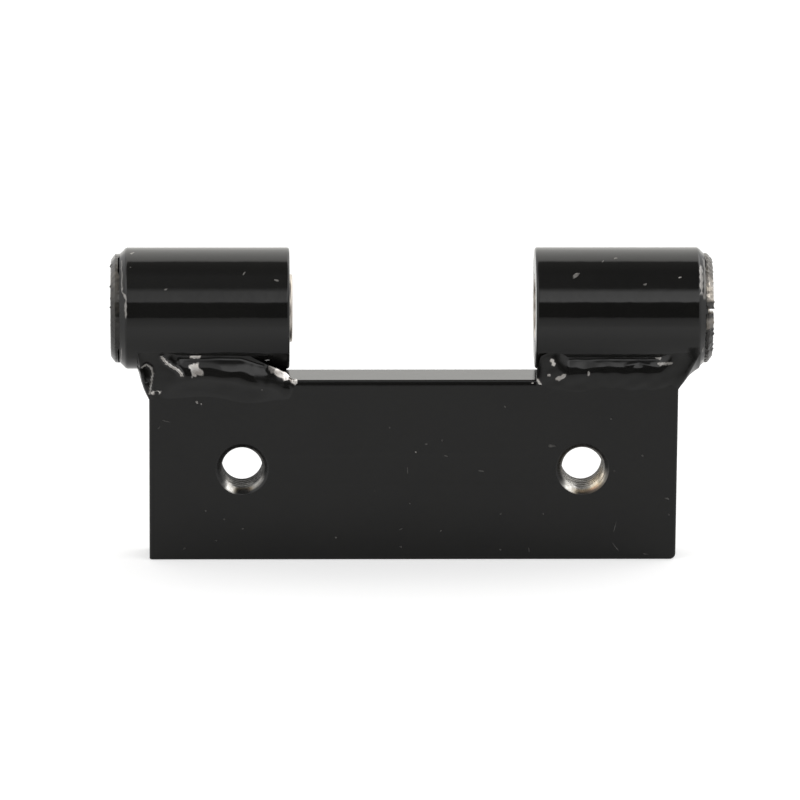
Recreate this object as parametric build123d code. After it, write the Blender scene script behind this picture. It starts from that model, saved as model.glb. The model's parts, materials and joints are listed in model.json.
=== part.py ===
from build123d import *
import os
from math import sqrt

# One half of a welded hinge: a flat leaf with two tapped holes, two knuckle tubes welded along its top
# edge and a flanged bush pressed into each tube.
# Millimetres. The origin is on the pin axis, midway between the knuckles. X runs along the pin, the front
# of the leaf faces -Y and the knuckles stand on its top edge, +Z.

# Knuckle tubes
knuckle_od = 25.0
knuckle_length = 35.25
knuckle_gap = 50.5
knuckle_end_chamfer = 1.7
knuckle_inner_chamfer = 0.5

# Flanged bushes
bush_bore = 12.0
bush_wall = 1.0
bush_flange_od = 22.6
bush_flange_thickness = 1.4
bush_flange_chamfer = 0.5
bush_lead_chamfer = 0.4
left_bush_proud = 0.6
right_bush_proud = 0.0
left_flange_standoff = 0.3
right_flange_standoff = 0.0

# The seam of each rolled bush opens as a notch across its flange. Its turn is measured from the front of
# the leaf, upwards over the top.
seam_width_at_bore = 0.3
seam_width_at_rim = 1.1
left_seam_turn = 205.0
right_seam_turn = 9.0

# Leaf
leaf_height = 38.0
leaf_thickness = 10.0
leaf_edge_round = 0.4
leaf_struck_corner = 1.2
leaf_setback = 2.3
left_knuckle_overhang = 6.4
right_knuckle_overhang = 5.9

# Tapped holes for M10 bolts, drilled to the thread's inner diameter
hole_spacing = 70.0
hole_rise = 19.25
thread_inner_diameter = 8.5
countersink_diameter = 11.0

# Weld runs. A leg runs down the leaf from its top edge and a rise runs up the tube from the same edge. Past
# the end of the leaf each run slopes up to the tube, and it stops short of the tube's outer end.
root_gap = 0.4
front_weld_rise = 4.8
front_weld_crown = 1.0
front_weld_crown_height = 1.0
rear_weld_width = 6.0
rear_weld_bulge = 0.5
weld_start = 0.4
weld_run_in = 5.0
weld_end_rise = 2.2
left_weld_leg = 5.4
right_weld_leg = 4.0
left_weld_end_leg = 5.4
right_weld_end_leg = 1.7
left_weld_stop = 3.9
right_weld_stop = 1.4

# Positions that follow from the sizes above
tube_r = knuckle_od / 2
inner_end = knuckle_gap / 2
outer_end = inner_end + knuckle_length
bush_od = bush_bore + 2 * bush_wall
left_leaf_end = outer_end - left_knuckle_overhang
right_leaf_end = outer_end - right_knuckle_overhang

# The front of the leaf stands back from the front of the tubes, and the leaf's top edge keeps the root gap to
# the nearest line of the tubes.
front_face = leaf_setback - tube_r
back_face = front_face + leaf_thickness
past_back = max(-back_face, 0.0)
leaf_top = -sqrt((tube_r + root_gap) ** 2 - past_back**2)
leaf_bottom = leaf_top - leaf_height
hole_z = leaf_bottom + hole_rise
countersink_depth = (countersink_diameter - thread_inner_diameter) / 2

os.makedirs("parts", exist_ok=True)


def along_x(radius, start, end):
    """A solid cylinder on the pin axis between two stations along X."""
    bar = Cylinder(radius, end - start, align=(Align.CENTER, Align.CENTER, Align.MIN))
    return Pos(start, 0, 0) * Rot(0, 90, 0) * bar


def mirrored(shape):
    """The same shape on the left of the leaf."""
    return mirror(shape, about=Plane.YZ)


def make_leaf():
    """The flat bar, its edges broken, with two holes countersunk from both faces."""
    middle_x = (right_leaf_end - left_leaf_end) / 2
    middle_y = (front_face + back_face) / 2
    middle_z = (leaf_top + leaf_bottom) / 2
    leaf = Box(left_leaf_end + right_leaf_end, leaf_thickness, leaf_height)
    leaf = Pos(middle_x, middle_y, middle_z) * leaf
    low_edges = leaf.edges().filter_by(Axis.Y).group_by(Axis.Z)[0]
    leaf = fillet(low_edges.sort_by(Axis.X)[-1], leaf_struck_corner)
    leaf = fillet(leaf.edges(), leaf_edge_round)
    for x in (-hole_spacing / 2, hole_spacing / 2):
        drill = Cylinder(thread_inner_diameter / 2, 2 * leaf_thickness)
        sink = Cone(
            thread_inner_diameter / 2,
            countersink_diameter / 2,
            countersink_depth,
            align=(Align.CENTER, Align.CENTER, Align.MAX),
        )
        to_front = Pos(x, front_face, hole_z) * Rot(90, 0, 0)
        to_back = Pos(x, back_face, hole_z) * Rot(-90, 0, 0)
        leaf -= Pos(x, middle_y, hole_z) * Rot(90, 0, 0) * drill
        leaf -= to_front * sink
        leaf -= to_back * sink
    return leaf


def make_knuckle():
    """The right tube, bored for its bush, with a wide chamfer outside and a small one at the gap."""
    tube = along_x(tube_r, inner_end, outer_end)
    rims = tube.edges().filter_by(GeomType.CIRCLE).sort_by(Axis.X)
    tube = chamfer(rims[-1], knuckle_end_chamfer)
    rims = tube.edges().filter_by(GeomType.CIRCLE).sort_by(Axis.X)
    tube = chamfer(rims[0], knuckle_inner_chamfer)
    return tube - along_x(bush_od / 2, inner_end - 1, outer_end + 1)


def make_bush(proud, standoff, seam_turn):
    """The right bush: a rolled sleeve with a flange outside the tube and a notch where its seam opens. It is
    home when its flange has no standoff from the tube's end."""
    seat = outer_end + standoff
    face = seat + bush_flange_thickness
    tip = inner_end - proud
    sleeve = along_x(bush_od / 2, tip, seat)
    sleeve = chamfer(sleeve.edges().filter_by(GeomType.CIRCLE).sort_by(Axis.X)[0], bush_lead_chamfer)
    flange = along_x(bush_flange_od / 2, seat, face)
    flange = chamfer(flange.edges().filter_by(GeomType.CIRCLE), bush_flange_chamfer)
    near = bush_bore / 2 - 0.5
    far = bush_flange_od / 2 + 1
    taper = (seam_width_at_rim - seam_width_at_bore) / (bush_flange_od - bush_bore)
    half_near = seam_width_at_bore / 2 - 0.5 * taper
    half_far = seam_width_at_rim / 2 + taper
    notch = [(-near, -half_near), (-far, -half_far), (-far, half_far), (-near, half_near)]
    notch_face = make_face(Polyline(notch, close=True))
    cut = extrude(Plane.YZ.offset(seat) * notch_face, bush_flange_thickness)
    bush = sleeve + flange - along_x(bush_bore / 2, tip - 1, face + 1)
    return bush - Rot(-seam_turn, 0, 0) * cut


def make_welds(leaf, leaf_end, leg, end_leg, stop):
    """The right front and rear runs: a section along the tube, tapered at its start and wrapped round the
    leaf's end, less the tube and the leaf that it joins."""
    toe_z = leaf_top + front_weld_rise
    front_toe = (-sqrt(tube_r**2 - toe_z**2), toe_z)
    crown = (front_face - front_weld_crown, leaf_top + front_weld_crown_height)
    front_low = (front_face, leaf_top - leg)
    toe_slope = (crown[0] - front_low[0], crown[1] - front_low[1])
    toe_slope_on_tube = (front_toe[0] - crown[0], (front_toe[1] - crown[1]) / 2)
    rear_low = (back_face, leaf_top - leg)
    rear_y = back_face + rear_weld_width
    rear_toe = (rear_y, -sqrt(tube_r**2 - rear_y**2))
    run = sqrt((rear_toe[0] - rear_low[0]) ** 2 + (rear_toe[1] - rear_low[1]) ** 2)
    rear_middle = (
        (rear_low[0] + rear_toe[0]) / 2 + rear_weld_bulge * (rear_toe[1] - rear_low[1]) / run,
        (rear_low[1] + rear_toe[1]) / 2 - rear_weld_bulge * (rear_toe[0] - rear_low[0]) / run,
    )
    outline = Curve() + [
        Spline(front_low, crown, front_toe, tangents=(toe_slope, toe_slope_on_tube)),
        Polyline(front_toe, (0, toe_z), (rear_y, toe_z), rear_toe),
        ThreePointArc(rear_toe, rear_middle, rear_low),
        Line(rear_low, front_low),
    ]
    start = inner_end + weld_start
    reach = outer_end - stop
    section = Plane.YZ.offset(start) * make_face(outline)
    body = extrude(section, reach - start)
    side = Polyline(
        (start, leaf_top - 2 * leg),
        (leaf_end, leaf_top - 2 * leg),
        (leaf_end, leaf_top - end_leg),
        (reach, leaf_top + weld_end_rise),
        (reach, 0),
        (start + weld_run_in, 0),
        (start + weld_run_in, toe_z),
        (start, leaf_top),
        close=True,
    )
    limit = extrude(Plane.XZ * make_face(side), knuckle_od, both=True)
    weld = body & limit
    weld -= along_x(tube_r, inner_end - 1, outer_end + 1)
    weld -= leaf
    behind = Box(4 * outer_end, knuckle_od, 4 * leaf_height, align=(Align.CENTER, Align.MIN, Align.CENTER))
    behind = Pos(0, back_face, 0) * behind
    return weld - behind, weld & behind


leaf_plate = make_leaf()
right_knuckle = make_knuckle()
left_knuckle = mirrored(right_knuckle)
right_bush = make_bush(right_bush_proud, right_flange_standoff, right_seam_turn)
left_bush = mirrored(make_bush(left_bush_proud, left_flange_standoff, left_seam_turn))
right_front_weld, right_rear_weld = make_welds(
    leaf_plate, right_leaf_end, right_weld_leg, right_weld_end_leg, right_weld_stop
)
left_welds = make_welds(
    mirrored(leaf_plate), left_leaf_end, left_weld_leg, left_weld_end_leg, left_weld_stop
)
left_front_weld = mirrored(left_welds[0])
left_rear_weld = mirrored(left_welds[1])

nodes = {
    "leaf_plate": leaf_plate,
    "left_knuckle": left_knuckle,
    "right_knuckle": right_knuckle,
    "left_bush": left_bush,
    "right_bush": right_bush,
    "left_front_weld": left_front_weld,
    "right_front_weld": right_front_weld,
    "left_rear_weld": left_rear_weld,
    "right_rear_weld": right_rear_weld,
}
for name, shape in nodes.items():
    export_step(shape, f"parts/{name}.step")
    print(name, len(shape.solids()), "solid", round(shape.volume, 1), "mm3")
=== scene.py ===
# %% [markdown]
# # A welded hinge leaf in gloss black
# The hinge is a flat steel leaf with two tapped holes, two thick tubes welded along its top edge and a
# flanged bush pressed into each tube. The whole thing was sprayed black after welding, and it has been
# handled since: the paint is chipped on the welds, flaking off the bush flanges and missing from the
# threads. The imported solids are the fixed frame. The main sizes below are read from their boxes.

# %% Load the solids and keep their box
import json
import bmesh
import bpy
import numpy as np
from mathutils import Matrix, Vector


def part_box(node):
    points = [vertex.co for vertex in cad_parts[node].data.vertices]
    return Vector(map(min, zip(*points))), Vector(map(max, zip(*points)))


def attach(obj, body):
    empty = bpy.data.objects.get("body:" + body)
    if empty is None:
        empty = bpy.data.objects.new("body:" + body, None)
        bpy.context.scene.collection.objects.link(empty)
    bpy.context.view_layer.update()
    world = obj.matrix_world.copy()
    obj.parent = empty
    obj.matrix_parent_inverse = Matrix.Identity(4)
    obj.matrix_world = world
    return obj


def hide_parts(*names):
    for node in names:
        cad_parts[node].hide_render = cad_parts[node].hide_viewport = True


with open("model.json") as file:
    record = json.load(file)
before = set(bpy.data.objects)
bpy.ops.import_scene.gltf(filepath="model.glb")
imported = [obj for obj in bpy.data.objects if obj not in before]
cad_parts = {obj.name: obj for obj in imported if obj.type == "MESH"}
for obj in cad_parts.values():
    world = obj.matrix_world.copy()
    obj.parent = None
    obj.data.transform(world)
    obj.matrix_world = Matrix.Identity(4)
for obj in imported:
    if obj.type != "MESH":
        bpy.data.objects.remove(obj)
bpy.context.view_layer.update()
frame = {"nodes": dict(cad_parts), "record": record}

mm = 0.001
scene = bpy.context.scene
print("nodes:", sorted(frame["nodes"]))

# %% [markdown]
# ## Sizes from the frame
# A maker would take a caliper to the part. Here the caliper is the box of each solid: the tube's radius is
# the top of its box, the leaf's faces are the sides of its box, and the holes come from the mounts in the
# record. All sizes are kept in millimetres, because they are easier to read, and turned into metres when a
# mesh is made.

# %% Measure the leaf, tubes, bushes and holes
def box_mm(node):
    """Lowest and highest corner of a solid, in millimetres."""
    low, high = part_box(node)
    return np.array(low) / mm, np.array(high) / mm

leaf_low, leaf_high = box_mm("leaf_plate")
front_face, back_face = leaf_low[1], leaf_high[1]
leaf_bottom, leaf_top = leaf_low[2], leaf_high[2]
left_leaf_end, right_leaf_end = -leaf_low[0], leaf_high[0]
leaf_thickness = back_face - front_face

tube_low, tube_high = box_mm("right_knuckle")
tube_radius = tube_high[2]
inner_end, outer_end = tube_low[0], tube_high[0]

bush_low, bush_high = box_mm("right_bush")
flange_radius = bush_high[2]
right_bush_tip, right_flange_face = bush_low[0], bush_high[0]
left_flange_face, left_bush_tip = -box_mm("left_bush")[0][0], -box_mm("left_bush")[1][0]
flange_thickness = right_flange_face - outer_end

mounts = {mount["name"]: mount for mount in frame["record"]["mounts"]}
pin_radius = mounts["pin_bore"]["dims"]["r_mm"]
bolt_holes = {side: mounts[side + "_bolt_hole"] for side in ("left", "right")}
thread_inner_radius = bolt_holes["right"]["dims"]["r_mm"]
bush_wall = 1.0
sleeve_radius = pin_radius + bush_wall
left_reach = -box_mm("left_front_weld")[0][0]
right_reach = box_mm("right_front_weld")[1][0]
print("tube", tube_radius, inner_end, outer_end, "leaf", leaf_low, leaf_high)
print("weld reach", left_reach, right_reach, "flange", flange_radius, left_flange_face, right_flange_face)

# %% [markdown]
# ## Grids into meshes
# Every new surface is a grid of points: rows by columns, worked out as one numpy array. Four neighbours
# make a face. A tube's grid joins up with itself, so its rows or columns may wrap, and an open end is closed
# with one cap. The normals are made to point outwards at the end, and edges sharper than an angle stay crisp.

# %% Mesh helpers
merge_distance = 1e-7


def grid_faces(rows, columns, wrap_rows=False, wrap_columns=False):
    """Quads of a grid: each joins a point, its right neighbour and the two above. Wrapping repeats row or
    column 0 after the last one."""
    index = np.arange(rows * columns).reshape(rows, columns)
    if wrap_rows:
        index = np.vstack([index, index[:1]])
    if wrap_columns:
        index = np.hstack([index, index[:, :1]])
    corners = [index[:-1, :-1], index[:-1, 1:], index[1:, 1:], index[1:, :-1]]
    return np.stack(corners, axis=-1).reshape(-1, 4).tolist()


def capped_faces(rows, columns):
    """Faces of a grid whose columns wrap, and one cap on its first and on its last row."""
    last_row = (rows - 1) * columns
    caps = [list(range(columns)), list(range(last_row, last_row + columns))]
    return grid_faces(rows, columns, wrap_columns=True) + caps


def weigh_normals(mesh):
    """Corner normals that keep flat faces flat beside their rounded edges: a face square to an axis keeps
    its own normal. Elsewhere a point's normal is the sum of the neighbouring faces' normals times their
    areas."""
    count = len(mesh.polygons)
    normal, area, sides = np.empty(3 * count), np.empty(count), np.empty(count, int)
    corner_point = np.empty(len(mesh.loops), int)
    mesh.polygons.foreach_get("normal", normal)
    mesh.polygons.foreach_get("area", area)
    mesh.polygons.foreach_get("loop_total", sides)
    mesh.loops.foreach_get("vertex_index", corner_point)
    normal = normal.reshape(-1, 3)
    total = np.zeros((len(mesh.vertices), 3))
    np.add.at(total, corner_point, np.repeat(normal * area[:, None], sides, axis=0))
    total = total / np.maximum(np.linalg.norm(total, axis=1, keepdims=True), 1e-20)
    square = np.repeat(np.abs(normal).max(axis=1) > 0.99999, sides)[:, None]
    chosen = np.where(square, np.repeat(normal, sides, axis=0), total[corner_point])
    mesh.normals_split_custom_set(chosen.tolist())


def make_piece(name, points, faces, material, slot, replaced=(), sharp_degrees=35, marks=None):
    """A mesh from points in millimetres, riding on the hinge. Marks are named values, one for each point.
    With a sharp angle of 0, flat faces outweigh their rounded edges."""
    mesh = bpy.data.meshes.new(name)
    mesh.from_pydata((points.reshape(-1, 3) * mm).tolist(), [], faces)
    for mark, values in (marks or {}).items():
        attribute = mesh.attributes.new(mark, "FLOAT", "POINT")
        attribute.data.foreach_set("value", np.ascontiguousarray(values, dtype=np.float32).ravel())
    shell = bmesh.new()
    shell.from_mesh(mesh)
    bmesh.ops.remove_doubles(shell, verts=shell.verts, dist=merge_distance)
    bmesh.ops.recalc_face_normals(shell, faces=shell.faces)
    shell.to_mesh(mesh)
    shell.free()
    mesh.shade_smooth()
    if sharp_degrees:
        mesh.set_sharp_from_angle(angle=np.radians(sharp_degrees))
    else:
        weigh_normals(mesh)
    mesh.materials.append(material)
    piece = bpy.data.objects.new(name, mesh)
    scene.collection.objects.link(piece)
    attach(piece, "root")
    if replaced:
        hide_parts(*replaced)
    print(name, len(mesh.polygons), "faces")
    return piece


# %% [markdown]
# ## Uneven by a formula
# Nothing on a welded and sprayed part is perfectly even. A few sine waves with different lengths,
# directions and starting points, added up, give a smooth unevenness that is the same on every run. A soft
# step turns a distance into a mark with a soft edge, and stations let a value change along a run as a
# welder's hand did.

# %% Unevenness, soft steps and stations
def uneven(u, v, seed, length, stretch=1.0, waves=7):
    """The sum of sine waves over the plane (u, v), scaled to about -1 to 1. Each has a wavelength near
    length, longer along u by stretch, and its own direction and phase from the seed."""
    draw = np.random.default_rng(seed)
    turn = draw.uniform(0, 2 * np.pi, waves)
    pitch = 2 * np.pi / (length * draw.uniform(0.6, 1.7, waves))
    phase = draw.uniform(0, 2 * np.pi, waves)
    u, v = np.asarray(u)[..., None], np.asarray(v)[..., None]
    along = u * np.cos(turn) / stretch + v * np.sin(turn)
    return np.sin(along * pitch + phase).sum(-1) / np.sqrt(waves)


def soft_step(value, low, high):
    """0 below low, 1 above high and 3t^2 - 2t^3 between them."""
    t = np.clip((value - low) / (high - low), 0, 1)
    return t * t * (3 - 2 * t)


def between(value, low, rise, fall, high):
    """0 outside low to high and 1 from rise to fall: a soft step up times a soft step down."""
    return soft_step(value, low, rise) * (1 - soft_step(value, fall, high))


def stations(along, *pairs):
    """A value that runs smoothly through stations, pairs of (place, value). Between two stations it is a
    cubic whose end slopes are the harmonic mean of the runs on both sides, or 0 at a peak and at the ends."""
    place, value = np.array(pairs, float).T
    run = np.diff(value) / np.diff(place)
    slope = np.zeros(len(place))
    steady = run[:-1] * run[1:] > 0
    slope[1:-1][steady] = 2 / (1 / run[:-1][steady] + 1 / run[1:][steady])
    along = np.clip(along, place[0], place[-1])
    k = np.clip(np.searchsorted(place, along) - 1, 0, len(place) - 2)
    width = place[k + 1] - place[k]
    t = (along - place[k]) / width
    rising = value[k] + (value[k + 1] - value[k]) * t * t * (3 - 2 * t)
    return rising + width * t * (1 - t) * (slope[k] * (1 - t) - slope[k + 1] * t)


def path_distance(x, z, path):
    """The distance from each point (x, z) to the nearest stretch of a path of (x, z) points."""
    nearest = np.full(np.shape(x), 1e9)
    for (xa, za), (xb, zb) in zip(path[:-1], path[1:]):
        run = (xb - xa) ** 2 + (zb - za) ** 2 + 1e-9
        t = np.clip(((x - xa) * (xb - xa) + (z - za) * (zb - za)) / run, 0, 1)
        nearest = np.minimum(nearest, np.hypot(x - xa - t * (xb - xa), z - za - t * (zb - za)))
    return nearest


def streak(x, z, path, half_width, seed=0, rough=0.25):
    """1 on a streak along a path, 0 off it, with a ragged soft edge: the distance to the path against half
    the width, which is uneven."""
    edge = half_width * (1 + rough * uneven(x, z, seed, 2.2 * half_width))
    return 1 - soft_step(path_distance(x, z, path), 0.75 * edge, 1.2 * edge)


def ridge(x, z, path, half_width):
    """A smooth ridge along a path: exp(-(distance / half width)^2)."""
    return np.exp(-((path_distance(x, z, path) / half_width) ** 2))


# %% [markdown]
# ## Finishes
# Paint covers nearly all of the hinge, and steel shows where it is gone: on the bushes, in the threads and
# in chips. A finish is a small tree of nodes. It could be built by hand in the shader editor; a few short
# helpers do the same in code, and each returns a socket that the next one takes. Patterns read Object
# coordinates, so they stay on the steel whichever way it is turned.

# %% Node helpers
def put(tree, kind, settings=None, **sockets):
    """Adds a node, sets its properties, and sets or links its sockets by name."""
    node = tree.nodes.new(kind)
    for key, value in (settings or {}).items():
        setattr(node, key, value)
    for key, value in sockets.items():
        socket = node.inputs[int(key[1:])] if key[0] == "_" else node.inputs[key.replace("_", " ")]
        if isinstance(value, bpy.types.NodeSocket):
            tree.links.new(value, socket)
        else:
            socket.default_value = value
    return node


def new_finish(name):
    """A new material, its node tree, its shader and the socket of the point in the object's own space."""
    finish = bpy.data.materials.new(name)
    finish.use_nodes = True
    tree = finish.node_tree
    place = put(tree, "ShaderNodeTexCoord").outputs["Object"]
    return finish, tree, tree.nodes["Principled BSDF"], place


def mark(tree, name):
    """A mark on the mesh, read by its name."""
    return put(tree, "ShaderNodeAttribute", {"attribute_name": name}).outputs["Fac"]


def noise(tree, place, scale, detail=2.0, roughness=0.5):
    """Noise over object space, scale in waves per metre."""
    node = put(tree, "ShaderNodeTexNoise", Vector=place, Scale=scale, Detail=detail, Roughness=roughness)
    return node.outputs["Fac"]


def spread(tree, value, low, high, out_low=0.0, out_high=1.0):
    """The range low to high stretched onto out_low to out_high, and held at its ends."""
    settings = {"_1": low, "_2": high, "_3": out_low, "_4": out_high}
    return put(tree, "ShaderNodeMapRange", {"clamp": True}, _0=value, **settings).outputs["Result"]


def blend(tree, factor, first, second):
    """Two colours mixed by a factor."""
    node = put(tree, "ShaderNodeMix", {"data_type": "RGBA"}, _0=factor, _6=first, _7=second)
    return node.outputs[2]


def maths(tree, operation, *values):
    """One sum on two or three values."""
    sockets = {f"_{k}": value for k, value in enumerate(values)}
    return put(tree, "ShaderNodeMath", {"operation": operation}, **sockets).outputs[0]


# %% [markdown]
# ### Gloss black paint
# Gloss black is nearly black in itself, and what the eye sees on it is the room's reflection. A plain black
# would look like plastic, so the colour drifts a little, the gloss varies, and a small bump gives the orange
# peel and the slow sags that a spray gun leaves. A few chosen cells of a Voronoi pattern are grains of dust.
# Where paint is gone, a mark on the mesh called bare says so, and the same shader turns into scuffed steel
# there. A mark keeps the worn places on the shape that they belong to, which a noise alone can't do. A second
# mark is painted shade: it takes the gloss away in hollows, creases and under the tubes, where shade falls,
# so that they go black.

# %% Gloss black paint over steel
paint_ior = 1.47
deep_black, warm_black = (0.0062, 0.0062, 0.0060, 1), (0.0098, 0.0096, 0.0088, 1)
dust_colour, dust_strength = (0.30, 0.29, 0.27, 1), 0.35
scuffed_steel, clean_steel = (0.60, 0.56, 0.52, 1), (0.88, 0.86, 0.83, 1)


def gloss_black(name, steel=clean_steel, steel_roughness=0.32):
    """Black gloss with orange peel, dust and wear. The bare mark shows the steel under it, and the mark of
    painted shade takes the gloss away in hollows and under the tubes, where shade falls."""
    finish, tree, shader, place = new_finish(name)
    bare, dull = mark(tree, "bare"), mark(tree, "dull")
    black = blend(tree, noise(tree, place, 90, 3), deep_black, warm_black)
    cells = put(tree, "ShaderNodeTexVoronoi", Vector=place, Scale=260.0, Randomness=1.0)
    cell_number = put(tree, "ShaderNodeSeparateColor", _0=cells.outputs["Color"]).outputs[0]
    chosen = spread(tree, cell_number, 0.80, 0.82)
    grain = spread(tree, cells.outputs["Distance"], 0.05, 0.018)
    dust = maths(tree, "MULTIPLY", maths(tree, "MULTIPLY", grain, chosen), dust_strength)
    dusty = blend(tree, dust, black, dust_colour)
    scuff = noise(tree, place, 700, 4, 0.7)
    metal = blend(tree, spread(tree, scuff, 0.35, 0.7), scuffed_steel, steel)
    tree.links.new(blend(tree, bare, dusty, metal), shader.inputs["Base Color"])
    gloss = spread(tree, noise(tree, place, 240, 4, 0.6), 0.3, 0.7, 0.055, 0.105)
    # Painted shade: the shade mark adds roughness and lowers the specular level, so shaded hollows go black.
    gloss = maths(tree, "ADD", gloss, maths(tree, "ADD", dust, maths(tree, "MULTIPLY", dull, 0.3)))
    level = maths(tree, "MULTIPLY", maths(tree, "SUBTRACT", 1.0, dull), 0.5)
    tree.links.new(level, shader.inputs["Specular IOR Level"])
    duller = put(tree, "ShaderNodeMix", {"data_type": "FLOAT"}, _0=bare, _2=gloss, _3=steel_roughness)
    tree.links.new(duller.outputs[0], shader.inputs["Roughness"])
    tree.links.new(maths(tree, "MULTIPLY", bare, 0.85), shader.inputs["Metallic"])
    shader.inputs["IOR"].default_value = paint_ior
    peel = noise(tree, place, 520, 2, 0.4)
    sag = noise(tree, place, 120, 2, 0.4)
    height = maths(tree, "ADD", peel, maths(tree, "MULTIPLY", sag, 2.5))
    height = maths(tree, "ADD", height, maths(tree, "MULTIPLY", scuff, maths(tree, "MULTIPLY", bare, 1.5)))
    bump = put(tree, "ShaderNodeBump", Strength=0.06, Distance=0.0002, Height=height)
    tree.links.new(bump.outputs[0], shader.inputs["Normal"])
    return finish


# %% [markdown]
# ### Tapped steel
# A tap cuts bright steel, and the spray only reached some of it: the left threads are dark with overspray,
# the right ones bright and a little rusty. Two marks on the mesh steer one shader. The bare mark also holds
# painted highlights: bright steel laid on the lower walls where a lamp's highlight falls. Rust begins as a
# tan stain and turns brown, so the rust mark runs through two blends, and a fine noise adds darker stains.

# %% Tapped steel in the holes
cut_steel, tan_stain, brown_rust = (0.88, 0.86, 0.82, 1), (0.80, 0.66, 0.45, 1), (0.36, 0.18, 0.10, 1)
dark_stain, overspray = (0.22, 0.20, 0.17, 1), (0.008, 0.008, 0.0075, 1)


def tapped_steel(name):
    """Cut steel that turns to black paint where the bare mark fades. The rust mark takes it through tan to
    rust."""
    finish, tree, shader, place = new_finish(name)
    bare, rusty = mark(tree, "bare"), mark(tree, "rust")
    stain = noise(tree, place, 700, 3, 0.6)
    stained = blend(tree, spread(tree, rusty, 0.0, 0.5), cut_steel, tan_stain)
    stained = blend(tree, spread(tree, rusty, 0.5, 1.0), stained, brown_rust)
    stained = blend(tree, spread(tree, stain, 0.3, 0.9), stained, dark_stain)
    tree.links.new(blend(tree, bare, overspray, stained), shader.inputs["Base Color"])
    tree.links.new(maths(tree, "MULTIPLY", bare, 0.9), shader.inputs["Metallic"])
    tree.links.new(spread(tree, stain, 0.3, 0.7, 0.2, 0.34), shader.inputs["Roughness"])
    shader.inputs["IOR"].default_value = paint_ior
    bump = put(tree, "ShaderNodeBump", Strength=0.12, Distance=0.0001, Height=noise(tree, place, 1500, 3))
    tree.links.new(bump.outputs[0], shader.inputs["Normal"])
    return finish


# %% [markdown]
# ### The three main finishes
# Paint on the tubes, the leaf and the welds lies over clean steel. The bushes have the same paint over a
# warmer, rolled steel, so the recipe is used twice with another steel under it. Separate recipes would drift
# apart; one recipe keeps the blacks alike.

# %% Make the finishes
rolled_steel, rolled_roughness = (0.66, 0.59, 0.49, 1), 0.30
black_paint = gloss_black("gloss_black_paint")
bush_finish = gloss_black("painted_bush_steel", rolled_steel, rolled_roughness)
thread_finish = tapped_steel("tapped_steel")
print("finishes:", [finish.name for finish in bpy.data.materials])

# %% [markdown]
# ## Turned pieces
# The tubes and bushes are turned parts, so a profile of distance along the pin and radius is carried round
# the pin axis. A profile is drawn by its corners, and each corner is rounded, because a real edge is never
# sharp and its round is what catches the light.

# %% Profiles and turning
def rounded_profile(corners, steps=6):
    """Corners (along, radius, round) joined by straight runs. A corner is cut back on both sides by its
    round times the tangent of half its turn, and an arc fills it."""
    points = []
    count = len(corners)
    for k, (a, r, fillet) in enumerate(corners):
        here = np.array([a, r])
        before = np.array(corners[k - 1][:2]) - here
        after = np.array(corners[(k + 1) % count][:2]) - here
        before, after = before / np.linalg.norm(before), after / np.linalg.norm(after)
        half_turn = np.arccos(np.clip(-before @ after, -1, 1)) / 2
        if fillet == 0 or half_turn < 1e-3:
            points.append(here[None])
            continue
        centre = here + (before + after) / np.linalg.norm(before + after) * fillet / np.cos(half_turn)
        start = here + before * fillet * np.tan(half_turn) - centre
        end = here + after * fillet * np.tan(half_turn) - centre
        t = np.linspace(0, 1, steps)[:, None]
        turn = 2 * half_turn
        arc = (start * np.sin((1 - t) * turn) + end * np.sin(t * turn)) / np.sin(turn)
        points.append(centre + arc)
    return np.vstack(points)


def turned(profile_along, profile_radius, angle):
    """A profile carried round the pin: angle 0 faces the front of the leaf and 90 degrees is on top."""
    along, radius, angle = np.broadcast_arrays(profile_along, profile_radius, angle)
    return np.stack([along, -radius * np.cos(angle), radius * np.sin(angle)], axis=-1)


def signed_degrees(angle):
    """An angle in degrees, from -180 to 180."""
    return (np.degrees(angle) + 180) % 360 - 180


# %% [markdown]
# ### Knuckle tubes
# Each knuckle is a short piece of thick tube, cut square at the inner end and chamfered at the outer one. A
# cylinder with a Bevel modifier would give both ends the same edge. A profile carried round the pin gives
# each edge its own round, and every point knows its place along the tube and its angle, so rubbed lines on
# the chamfer and patches of painted shade under the tube are written as marks in those two numbers.

# %% Knuckle tubes
tube_chamfer = 1.7
tube_inner_round = 0.55
shoulder_round = 0.9
mouth_round = 0.08
tube_spokes = 560
shade_strength = 0.8


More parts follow.
